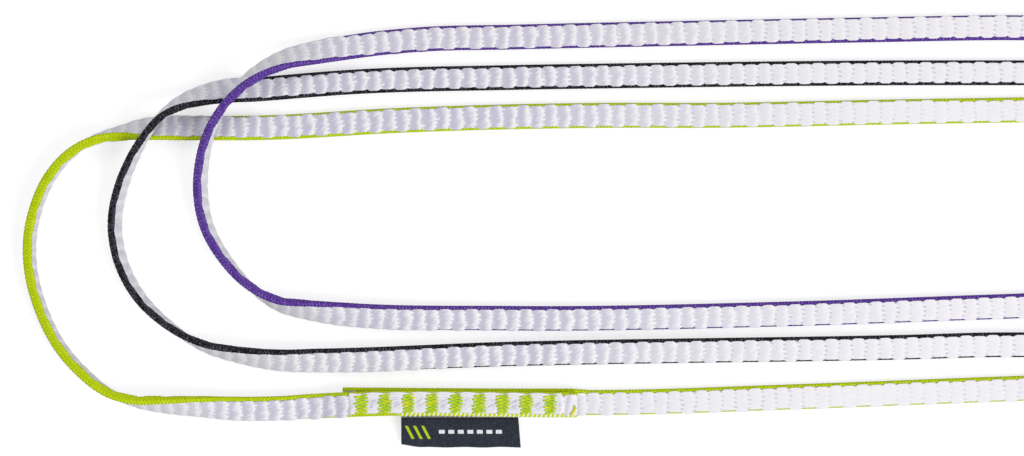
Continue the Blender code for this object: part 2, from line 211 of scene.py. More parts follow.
greenRoute = [
    (-117.4, -55.4, 3.5, 0), (-189.4, -55.4, 3.5, 0), (-201.0, -56.0, 1.0, 8),
    (-211.8, -56.5, 0, 24), (-225.3, -56.6, 0, 28), (-238.1, -55.9, 0, 46), (-249.9, -55.4, 0, 62),
    (-259.2, -54.4, 0, 78), (-267.2, -51.4, 0, 88), (-275.2, -45.1, 0, 93), (-282.5, -36.5, 0, 94),
    (-288.2, -25.1, 0, 94), (-291.4, -13.3, 0, 94), (-291.8, -2.4, 0, 94), (-289.8, 7.3, 0, 94),
    (-285.8, 16.4, 0, 93), (-279.6, 23.9, 0, 90), (-271.7, 28.9, 0, 82), (-262.4, 31.2, 0, 66),
    (-253.4, 32.3, 0, 34), (-241.3, 32.6, 0, 19), (-218.9, 32.8, 0, 9), (-174.1, 35.2, 0, 3),
    (-108.0, 36.8, 0, 0), (-76.0, 36.8, 0, 0), (-10.2, 38.0, 0, 0), (145.9, 39.7, 0, 4),
    (199.4, 39.5, 0, 12), (225.0, 37.6, 0, 36), (242.3, 30.6, 0, 66), (254.4, 17.4, 0, 86),
    (259.5, 0.8, 0, 92), (257.3, -15.8, 0, 88), (247.7, -31.2, 0, 68), (231.1, -41.1, 0, 38),
    (204.2, -45.0, 0, 12), (173.8, -46.2, 0, 4), (25.6, -50.4, 0, 0), (-52.5, -53.3, 0, 0),
    (-103.7, -54.9, 0, 0), (-113.3, -55.0, 0, 0), (-192.3, -54.7, 0, 0),
]
blackRoute = [
    (65.9, 51.0, 2.8, 0), (142.1, 51.0, 2.8, 0), (155.5, 50.9, 0.6, 3), (206.7, 48.5, 0, 14),
    (229.1, 47.2, 0, 36), (250.6, 39.5, 0, 66), (266.2, 23.8, 0, 86), (273.6, 2.7, 0, 92),
    (271.0, -19.7, 0, 88), (258.6, -38.9, 0, 68), (238.7, -51.0, 0, 36), (209.9, -55.2, 0, 12),
    (155.5, -55.5, 0, 2), (128.3, -54.2, 3.1, 0), (94.7, -50.4, 3.1, 0), (59.5, -41.3, 3.1, 0),
    (38.7, -36.9, 1.1, 3), (21.1, -36.5, 0, 5), (-14.1, -37.3, 0, 6), (-138.2, -39.4, 0, 10),
    (-199.7, -41.2, 0, 30), (-212.5, -41.1, 0, 43), (-224.5, -39.6, 0, 60), (-236.6, -36.7, 0, 76),
    (-247.9, -30.1, 0, 91), (-257.7, -20.3, 0, 99), (-263.5, -8.2, 0, 101), (-264.9, 3.4, 0, 101),
    (-263.0, 13.0, 1.2, 100), (-259.1, 22.1, 4.2, 97), (-254.7, 29.4, 6.9, 90),
    (-249.7, 36.0, 6.1, 81), (-243.8, 40.2, 3.9, 66), (-237.3, 42.6, 1.9, 48),
    (-229.8, 44.2, 0.7, 28), (-218.9, 45.1, 0.1, 13), (-190.1, 47.4, 0, 7), (-138.2, 48.9, 0, 2),
    (-100.0, 49.5, 0, 0), (-10.2, 50.4, 0, 0), (30.7, 50.4, 0, 0), (142.1, 50.4, 0, 0),
]
purpleRoute = [
    (91.5, 64.3, 2.8, 0), (167.7, 64.3, 2.8, 0), (180.5, 64.2, 0.6, 3), (213.1, 61.0, 0, 12),
    (241.9, 57.1, 0, 34), (266.9, 47.5, 0, 64), (285.4, 29.6, 0, 86), (294.1, 4.0, 0, 92),
    (290.9, -22.2, 0, 88), (276.5, -44.6, 0, 68), (253.1, -59.7, 0, 34), (224.3, -64.2, 0.6, 10),
    (198.7, -60.6, 3.2, 1), (171.5, -50.4, 3.3, 0), (144.3, -38.2, 3.3, 0), (120.3, -29.3, 1.2, 3),
    (94.7, -24.5, 0, 4), (59.5, -23.0, 0, 5), (17.9, -24.3, 0, 6), (-52.5, -26.7, 0, 7),
    (-138.2, -28.0, 0, 10), (-190.1, -26.6, 0, 32), (-202.2, -25.3, 0, 50), (-213.2, -23.1, 0, 70),
    (-222.3, -17.3, 0, 88), (-229.7, -9.0, 0, 98), (-235.2, 0.7, 0.2, 101),
    (-237.4, 12.2, 1.2, 102), (-236.6, 21.9, 3.4, 100), (-234.7, 29.3, 5.4, 95),
    (-231.3, 36.6, 6.6, 88), (-226.7, 43.0, 6.9, 79), (-220.0, 49.2, 5.3, 66),
    (-210.9, 54.0, 3.0, 50), (-200.0, 56.6, 1.2, 30), (-186.9, 59.0, 0.3, 12),
    (-167.7, 61.0, 0, 8), (-138.2, 61.8, 0, 4), (-78.1, 63.1, 0, 1), (-20.0, 64.2, 0, 0),
    (17.9, 64.8, 0, 0), (75.5, 63.7, 0, 0), (167.7, 63.7, 0, 0),
]

tape = {
    "width": 8.0 * mm,
    "thickness": 2.5 * mm,
    "ring": 0.375 * mm,
    "substeps": 24,
    "evenOut": 6,  # rings to both sides over which the tape's way is evened out
    "turnOver": 0.3,
    "pathStep": 10,  # rings between two points of a cord's path
}


def ratesOf(values, gaps):
    return [(b - a) / gap for a, b, gap in zip(values, values[1:], gaps)]


def roundSlopes(values, gaps):
    rates = ratesOf(values, gaps)
    inner = [(p * h + q * g) / (g + h) for p, q, g, h in zip(rates, rates[1:], gaps, gaps[1:])]
    return [rates[0], *inner, rates[-1]]


def heldSlopes(values, gaps):
    # these never swing past the route's own heights and leans
    rates = ratesOf(values, gaps)
    inner = []
    for p, q, g, h in zip(rates, rates[1:], gaps, gaps[1:]):
        near, far = 2 * h + g, h + 2 * g
        inner.append((near + far) / (near / p + far / q) if p * q > 0 else 0.0)
    return [0.0, *inner, 0.0]


def onSpan(start, stop, slopeIn, slopeOut, gap, t):
    square, cube = t * t, t * t * t
    return ((2 * cube - 3 * square + 1) * start + (cube - 2 * square + t) * gap * slopeIn
            + (3 * square - 2 * cube) * stop + (cube - square) * gap * slopeOut)


def smoothRoute(route):
    rows = [(x * mm, y * mm, lift * mm, math.radians(lean)) for x, y, lift, lean in route]
    gaps = [math.dist(a[:2], b[:2]) for a, b in zip(rows, rows[1:])]
    columns = list(zip(*rows))
    slopes = [roundSlopes(c, gaps) for c in columns[:2]]
    slopes += [heldSlopes(c, gaps) for c in columns[2:]]
    found = []
    for i, gap in enumerate(gaps):
        for step in range(tape["substeps"]):
            t = step / tape["substeps"]
            found.append([onSpan(c[i], c[i + 1], s[i], s[i + 1], gap, t)
                          for c, s in zip(columns, slopes)])
    found.append(list(rows[-1]))
    return found


def middleOf(row):
    x, y, lift, lean = row
    upright = tape["width"] / 2 * abs(math.sin(lean))
    return Vector((x, y, lift + (upright + tape["thickness"] / 2 * abs(math.cos(lean)))))


def makeLine(route):
    # evenly spaced rings: distance along, middle, across to the inner selvedge, out of the outer
    # face, the tape's way over the floor and its lean in degrees
    rows = smoothRoute(route)
    points = [middleOf(row) for row in rows]
    lengths = [0.0]
    for a, b in zip(points, points[1:]):
        lengths.append(lengths[-1] + (b - a).length)
    count = round(lengths[-1] / tape["ring"])
    places, ways, leans = [], [], []
    i = 0
    for k in range(count + 1):
        along = lengths[-1] * k / count
        while i < len(rows) - 2 and lengths[i + 1] < along:
            i += 1
        share = (along - lengths[i]) / (lengths[i + 1] - lengths[i])
        start, stop = rows[i], rows[i + 1]
        row = [a + (b - a) * share for a, b in zip(start, stop)]
        places.append(middleOf(row))
        leans.append(row[3])
        ways.append(Vector((stop[0] - start[0], stop[1] - start[1], 0)).normalized())
    rings = []
    for k in range(count + 1):
        along = lengths[-1] * k / count
        near = ways[max(k - tape["evenOut"], 0):k + tape["evenOut"] + 1]
        way = sum(near, Vector((0, 0, 0))).normalized()
        inward = Vector((way.y, -way.x, 0))
        across = math.cos(leans[k]) * inward + math.sin(leans[k]) * up
        face = math.cos(leans[k]) * up - math.sin(leans[k]) * inward
        rings.append((along, places[k], across, face, way, math.degrees(leans[k])))
    return {"length": lengths[-1], "count": count, "lift": route[0][2], "rings": rings}


def onLine(line, along, across, out):
    # a point in metres from distances in millimetres along, across and out of the outer face
    rings = line["rings"]
    position = min(max(along * mm / line["length"], 0), 1) * line["count"]
    k = min(int(position), line["count"] - 1)
    found = Vector((0, 0, 0))
    for ring, weight in ((rings[k], 1 - position + k), (rings[k + 1], position - k)):
        found += weight * (ring[1] + across * mm * ring[2] + out * mm * ring[3])
    return found


def farShare(way):
    # 0 on a sling's near run, 1 on its far run, easing over in the bends
    return eased(way.x, -tape["turnOver"], tape["turnOver"])


# webbing of white polyethylene: barrel ribs across the tape, whose ends reach over the two
# selvedges by turns. In the dictionaries from here on lengths are millimetres and leans degrees,
# and the attributes that the materials read are millimetres too.

weave = {
    "ribPitch": 4.3,
    "half": 1.25,
    "crown": 0.36,
    "barrelFoot": 0.7,  # the share of the crown that lies below the tape's plain face
    "ridge": 0.18,  # how far the ridge of each rib lies off its middle
    "bow": 0.4,
    "bowReach": 3.4,
    # the ribs' slow wandering along the tape and a quicker one: how far, and turns in radians a mm
    "wander": (0.22, 0.61),
    "quiver": (0.1, 1.7),
    "lip": 0.04,
    "lipPower": 8,
    "tuck": 2.7,
    "columns": 11,
    # how far the rib ends reach: at a groove, on a rib that shows the edge, on a rib that covers it
    "shownEdge": (2.5, 3.0, 3.25),
    "hiddenEdge": (3.3, 3.45, 3.93),
    "endFull": 1.25,
    "endRound": 0.6,
    "leaningEdge": 4.04,
    "leanRange": (12, 22),
    # the ribs of tape that leans are flatter and their painted shade lighter, by up to this share
    # over this range of leans
    "leanLoss": 0.4,
    "lossRange": (15, 60),
}
seam = {
    "firstTack": 8.8,
    "pitch": 7.5,
    "tacks": 9,
    "ribShare": 0.3,
    "puff": 0.4,
    "puffLeast": 0.05,  # the puff that the weave's pattern is given at a tack
    "pinch": 0.45,
    "pinchFade": 2.2,
    "edgePower": 4,
    "innerEdge": 3.2,
    "innerPuff": 0.5,
    "innerRound": 0.7,
    "outerEdge": 2.85,
    "outerPuff": 0.25,
    # how far the lower ply's edge peeps out beyond the upper one and curls up beside it
    "fanEdge": 0.55,
    "fanLift": 0.9,
    "fanLong": 72,
    "fanEase": 8,
}
# the cut end of the upper ply: a slanted fused lip, thin in front of it and creased behind
cutEnd = {
    "long": 5.5,
    "slant": 0.23,
    # height, place along and half width
    "lip": (0.25, 2.6, 0.7),
    "crease": (0.35, 4.0, 0.45),
    "thin": 0.3,
    "thinRange": (0.6, 2.0),
}


def bowedPlace(along, across, bow):
    # the place along the tape as the bowed and wandering ribs count it
    bowed = along - bow * (1 - (across / weave["bowReach"]) ** 2)
    far, turns = weave["wander"]
    wandered = bowed + far * math.sin(bowed * turns + across)
    far, turns = weave["quiver"]
    return wandered + far * math.sin(bowed * turns)


def edgeReach(shown, covering, inside):
    # how far across one rib end reaches: the more of the selvedge is shown, the less
    found = 0
    for marks, weight in ((weave["shownEdge"], shown), (weave["hiddenEdge"], 1 - shown)):
        found += weight * (marks[0] + (marks[2 if covering else 1] - marks[0]) * inside)
    return found


def edgesAt(ring, shows):
    # how far across the webbing reaches to its inner and to its outer side
    along, middle, _, _, way, lean = ring
    k, share = divmod(along / mm / weave["ribPitch"], 1)
    inside = min(1, weave["endFull"] * math.sin(math.pi * share) ** weave["endRound"])
    far = farShare(way)
    leaning = eased(lean, *weave["leanRange"])
    found = []
    for turn, word in enumerate(("Inner", "Outer")):
        shown = shows["near" + word]
        shown += (readOff(shows["far" + word], middle.x / mm) - shown) * far
        if word == "Inner":
            shown += (1 - shown) * leaning
        found.append(edgeReach(shown, k % 2 == turn, inside))
    found[1] += (weave["leaningEdge"] - found[1]) * leaning
    return found


def fannedAt(line, along):
    # 1 where the seam's lower ply lies, easing to 0 beside it
    left = line["length"] / mm - along
    return 1 - eased(left, seam["fanLong"], seam["fanLong"] + seam["fanEase"])


def puffAt(along):
    # on the seam's upper ply: 0 at a bar tack, 1 between two; None outside the seam
    first, last = seam["firstTack"], seam["firstTack"] + (seam["tacks"] - 1) * seam["pitch"]
    if not first - seam["pitch"] / 2 < along < last + seam["pitch"] / 2:
        return None
    return abs(math.sin(math.pi * (along - first) / seam["pitch"]))


def puffLift(puff, share):
    # how far the seam stands out between its tacks and is drawn in under them
    held = 1 - min(1, seam["pinchFade"] * puff)
    return seam["puff"] * puff - seam["pinch"] * held * (1 - share)


def swell(value, height, middle, half):
    return height * math.exp(-((value - middle) / half) ** 2)


def withCutEnd(out, along, across):
    slanted = along + cutEnd["slant"] * across
    out += swell(slanted, *cutEnd["lip"])
    thinned = cutEnd["thin"] * (1 - eased(slanted, *cutEnd["thinRange"]))
    return out - (swell(slanted, *cutEnd["crease"]) + thinned)


def ringLook(line, ring, shows):
    # for a ring of the webbing: place along, reach to both sides, puff, how full its ribs are
    # (which also sets how deep their painted shade is), and how far the lower ply peeps out
    along = ring[0] / mm
    puff = puffAt(along)
    edgeIn, edgeOut = edgesAt(ring, shows)
    if puff is not None:
        edgeIn = seam["innerEdge"] + seam["innerPuff"] * puff ** seam["innerRound"]
        edgeOut = seam["outerEdge"] + seam["outerPuff"] * puff
    fanned = fannedAt(line, along) if shows["fan"] else 0
    edgeIn += seam["fanEdge"] * shows["fan"] * fanned
    x, far = ring[1].x / mm, farShare(ring[4])
    full = readOff(shows["nearFull"], x) * (1 - far) + readOff(shows["farFull"], x) * far
    full *= 1 - weave["leanLoss"] * eased(ring[5], *weave["lossRange"])
    return along, edgeIn, edgeOut, puff, full, fanned


def makeWebbing(name, line, shows, material, body, replaced):
    columns = weave["columns"]
    around = 2 * columns + 2
    build = bmesh.new()
    lay = build.verts.layers.float_vector.new("lay")
    relief = build.verts.layers.float_vector.new("relief")
    bmesh.ops.create_grid(build, x_segments=line["count"], y_segments=around, size=0.5)
    rows = [ringLook(line, ring, shows) for ring in line["rings"]]
    for vert in build.verts:
        k = round((vert.co.x + 0.5) * line["count"])
        j = round((vert.co.y + 0.5) * around) % around
        along, edgeIn, edgeOut, puff, full, fanned = rows[k]
        _, middle, inner, face, way, _ = line["rings"][k]
        if j in (columns, around - 1):
            # a groove down each side, tucked in behind the selvedge
            side, out, bowed = 0, 0.0, along
            across = -weave["tuck"] if j == columns else weave["tuck"]
        else:
            side = 1 if j < columns else -1
            step = j if side > 0 else around - 2 - j
            w = math.sin(math.pi * (0.5 - step / (columns - 1)))
            across = w * (edgeIn if w > 0 else edgeOut)
            bowed = bowedPlace(along, across, weave["bow"] * way.x)
            share = (bowed / weave["ribPitch"]) % 1
            lopsided = math.log(0.5) / math.log(0.5 + weave["ridge"] * way.x)
            barrel = math.sin(math.pi * share ** lopsided)
            out = weave["half"] + full * weave["crown"] * (barrel - weave["barrelFoot"])
            if puff is not None and side > 0:
                out = weave["half"] + seam["ribShare"] * (out - weave["half"])
                out += puffLift(puff, abs(w) ** seam["edgePower"])
            if along < cutEnd["long"] and side > 0:
                out = withCutEnd(out, along, across)
            out *= side * (1 - weave["lip"] * abs(w) ** weave["lipPower"])
            out += seam["fanLift"] * fanned * max(w, 0) ** seam["edgePower"]
        # the pattern runs to the right and away from the eye on both runs, so that the material's
        # painted rib shade lies on each rib's slope turned from the lamp on the right
        turned = 1 if way.x > 0 else -1
        sewn = 0
        if puff is not None and side > 0:
            sewn = seam["puffLeast"] + (1 - seam["puffLeast"]) * puff
        vert[lay] = (along * turned, -across * turned, side)
        # the relief attribute carries what the painted shade follows: rib count, how full the ribs
        # are, the seam's puff
        vert[relief] = (bowed * turned, full, sewn)
        vert.co = middle + across * mm * inner + out * mm * face
    closeSkin(build)
    mesh = meshFrom(build, name, material)
    return finishPiece(name, mesh, body, replaced)


# selvedges: a round bead of coloured yarn along each side of the tape, fuller where it stands

bead = {
    "middle": 3.3,
    "reach": 0.7,
    "half": 0.92,
    "footHalf": 0.8,
    "leanRange": (25, 70),
    "ring": 2,
    "around": 12,
    "ripplePitch": 1.43,
    "rippleLag": 1.5,
    "ripple": 0.05,
    "notch": 0.18,
    "laceRipple": 0.16,
    "laceGrow": 0.26,
    "laceStart": (0.2, 1.2),
    "laceEase": 0.5,
}


def lacedAt(along, long):
    # 1 where the thread that laces the seam's outer edge lies, over a length from the cut end
    if not long:
        return 0
    ending = eased(along, long - bead["laceEase"], long + bead["laceEase"])
    return max(eased(along, *bead["laceStart"]) - ending, 0)


def makeSelvedge(name, line, side, sling, material, body, replaced):
    count = line["count"] // bead["ring"]
    build = bmesh.new()
    lay = build.verts.layers.float_vector.new("lay")
    laced = build.verts.layers.float.new("laced")
    bmesh.ops.create_grid(build, x_segments=count, y_segments=bead["around"], size=0.5)
    for vert in build.verts:
        k = round((vert.co.x + 0.5) * count)
        j = round((vert.co.y + 0.5) * bead["around"]) % bead["around"]
        ring = line["rings"][k * bead["ring"] if k < count else line["count"]]
        along, middle, inner, face, _, lean = ring
        along /= mm
        turn = 2 * math.pi * j / bead["around"]
        leaning = eased(lean, *bead["leanRange"])
        standing = sling["standingHalf"] if side > 0 else bead["footHalf"]
        half = bead["half"] + (standing - bead["half"]) * leaning
        lace = lacedAt(along, sling["laced"]) if side < 0 else 0
        ripple = bead["ripple"] + bead["laceRipple"] * lace
        wave = 2 * math.pi * along / bead["ripplePitch"] + bead["rippleLag"] * math.sin(turn)
        grow = 1 + ripple * math.sin(wave)
        grow += bead["laceGrow"] * lace
        across = bead["middle"] + bead["reach"] * math.cos(turn) * grow
        out = half * math.sin(turn) * grow
        fanned = fannedAt(line, along) if side > 0 and sling["fan"] else 0
        if fanned:
            across += sling["fan"] * fanned
            out += seam["fanLift"] * fanned
        elif out < 0:
            # on the loop's inner face the rib ends press into the bead
            rib = math.sin(math.pi * (along / weave["ribPitch"]))
            out *= 1 - bead["notch"] * leaning * (abs(rib) ** 2 + rib) / 2
        vert[lay] = (along, turn * bead["reach"], side)
        vert[laced] = lace
        vert.co = middle + side * across * mm * inner + out * mm * face
    closeSkin(build)
    return finishPiece(name, meshFrom(build, name, material), body, replaced)


# bar tacks: one thread that zigzags along the tape while it works its way across

tack = {
    "thread": 0.32,
    "threadRound": 2,  # how finely the thread's round section is cut
    "along": 4.0,
    "across": 5.2,
    "passes": 10,
    "stations": (-1, -0.92, -0.6, 0, 0.6, 0.92, 1),  # points of one pass, as shares of its reach
    "reachShares": (0.8, 0.2),  # what a pass reaches at the tack's ends, and more in its middle
    "uneven": 0.5,
    "slant": 0.26,
    "crown": 0.22,
    "dive": 0.45,
    "sit": 0.02,
    "underAlong": 2.6,
    "underAcross": 2.6,
    "underSit": 0.42,
    "underShare": 0.4,
    "tail": [(0.9, -0.5), (0.8, -1.2), (1.1, -1.9), (1.6, -2.7), (2.3, -3.3)],
    "tailThread": 0.42,
}


def threadMesh(name, points, radius, material):
    # a round thread through the points, as a mesh
    data = bpy.data.curves.new(name, "CURVE")
    data.dimensions = "3D"
    data.bevel_depth = radius
    data.bevel_resolution = tack["threadRound"]
    data.use_fill_caps = True
    spline = data.splines.new("POLY")
    spline.points.add(len(points) - 1)
    for point, place in zip(spline.points, points):
        point.co = (*place, 1)
    holder = bpy.data.objects.new(name, data)
    scene.collection.objects.link(holder)
    bpy.context.view_layer.update()
    graph = bpy.context.evaluated_depsgraph_get()
    mesh = bpy.data.meshes.new_from_object(holder.evaluated_get(graph))
    bpy.data.objects.remove(holder)
    build = bmesh.new()
    build.from_mesh(mesh)
    closeSkin(build)
    bpy.data.meshes.remove(mesh)
    return meshFrom(build, name, material)


def zigzag(chance, long, wide):
    # stitches of one face: along, across and out of the face they lie on
    least, more = tack["reachShares"]
    points = []
    for k in range(tack["passes"] + 1):
        way = 1 if k % 2 else -1
        reach = long / 2 * (least + more * math.sin(math.pi * k / tack["passes"]))
        reach += chance.uniform(-tack["uneven"], tack["uneven"])
        for share in tack["stations"]:
            across = wide * (k / tack["passes"] - 0.5) + tack["slant"] * share
            out = tack["crown"] * (1 - share * share) - (tack["dive"] if abs(share) == 1 else 0)
            points.append((way * share * reach, across, out))
    return points


def makeTackStitches(name, line, k, chance, material, body, replaced):
    centre = seam["firstTack"] + k * seam["pitch"]
    ground = -(line["lift"] + weave["half"])
    points = []
    for along, across, out in zigzag(chance, tack["along"], tack["across"]):
        lift = puffLift(puffAt(centre + along), 0)
        height = weave["half"] + tack["sit"] + lift + out
        points.append(onLine(line, centre + along, across, height))
    for along, across, out in zigzag(chance, tack["underAlong"], tack["underAcross"]):
        height = ground + tack["underSit"] - tack["underShare"] * out
        points.append(onLine(line, centre + along, -across, height))
    mesh = threadMesh(name, points, tack["thread"] * mm, material)
    return finishPiece(name, mesh, body, replaced)


# label: a woven ribbon folded double, sewn into the green seam

label = {
    "left": -173.6,
    "root": -59.9,
    "height": 3.0,
    "long": 37.4,
    "reach": 9.3,
    "cornerCut": 0.95,
    "cornerLong": 7.0,
    "skew": 0.75,
    "droop": 2.4,
    "leaf": 0.26,
    "gap": 0.4,
    "foldShare": 0.12,  # the share of each leaf's steps that goes round the fold
    "columns": 60,
    "steps": 34,
    "lap": 0.35,
    "hemDepth": 3.4,
    "hemGap": 0.5,
    "hemBelow": 20,  # keeps the hem clear of the woven-in trim
    # ripples: how far, and turns in radians a mm
    "edgeWave": (0.1, 0.55),
    "slowWave": (0.16, 0.31),
    "slowStart": 0.6,
    "quickWave": (0.05, 1.3),
    "hemWave": (0.03, 0.9),
}


def hemPoint(a, t):
    # along, out from the root and up, with the place and the side that the pattern is given
    b = t * label["hemDepth"] / 2 - label["hemDepth"] / 2
    far, turns = label["hemWave"]
    return a, b, far * math.sin(a * turns), (a, b - label["hemBelow"], 1)


def flagPoint(a, t):
    # the same; t runs from the root of the upper leaf at -1 round the fold to that of the lower
    far, turns = label["edgeWave"]
    cut = max(0, 1 - a / label["cornerLong"])
    reach = label["reach"] - label["cornerCut"] * cut * cut * (3 - 2 * cut)
    reach += far * math.sin(a * turns)
    fold, bend = label["gap"] / 2, label["foldShare"]
    if abs(t) > bend:
        b = (reach - fold + label["lap"]) * (1 - abs(t)) / (1 - bend) - label["lap"]
        lift = fold if t < 0 else -fold
    else:
        b = reach - fold + fold * math.cos(t / bend * math.pi / 2)
        lift = -fold * math.sin(t / bend * math.pi / 2)
    share = b / label["reach"]
    lift += -label["droop"] * share * share
    far, turns = label["slowWave"]
    slow = far * share * math.sin(a * turns + label["slowStart"])
    far, turns = label["quickWave"]
    lift += slow + far * math.sin(a * turns + b)
    x = a + label["skew"] * share * (a / label["long"]) ** 2
    return x, b, lift, (a, b, -1 if t > 0 else 1)


def makeLabel(name, pointAt, root, body, replaced):
    build = bmesh.new()
    lay = build.verts.layers.float_vector.new("lay")
    bmesh.ops.create_grid(build, x_segments=label["columns"], y_segments=label["steps"], size=0.5)
    for vert in build.verts:
        x, b, lift, vert[lay] = pointAt((vert.co.x + 0.5) * label["long"], 2 * vert.co.y)
        vert.co = Vector((label["left"] + x, root - b, label["height"] + lift)) * mm
    bmesh.ops.recalc_face_normals(build, faces=build.faces)
    mesh = meshFrom(build, name, ribbonMaterial)
    piece = finishPiece(name, mesh, body, replaced)
    leaf = piece.modifiers.new("leaf", "SOLIDIFY")
    leaf.thickness = label["leaf"] * mm
    leaf.offset = 0


# materials

def readLay(tree, name="lay"):
    # an attribute as a whole and in its three parts
    source = addNode(tree, "Attribute", {"attribute_name": name})["Vector"]
    return (source, *addNode(tree, "SeparateXYZ", links={0: source}))


def waveOf(tree, *terms):
    # a sine from 0 to 1 of a sum of position over pitch, both in millimetres
    total = None
    for position, pitch in terms:
        links = {0: position} if total is None else {0: position, 2: total}
        settings = {1: 2 * math.pi / pitch, 2: 0.0}
        total = addNode(tree, "Math MULTIPLY_ADD", settings, links)[0]
    swing = addNode(tree, "Math SINE", links={0: total})[0]
    return addNode(tree, "Math MULTIPLY_ADD", {1: 0.5, 2: 0.5}, {0: swing})[0]


def product(tree, first, *others):
    # several shares multiplied
    for other in others:
        first = addNode(tree, "Math MULTIPLY", links={0: first, 1: other})[0]
    return first
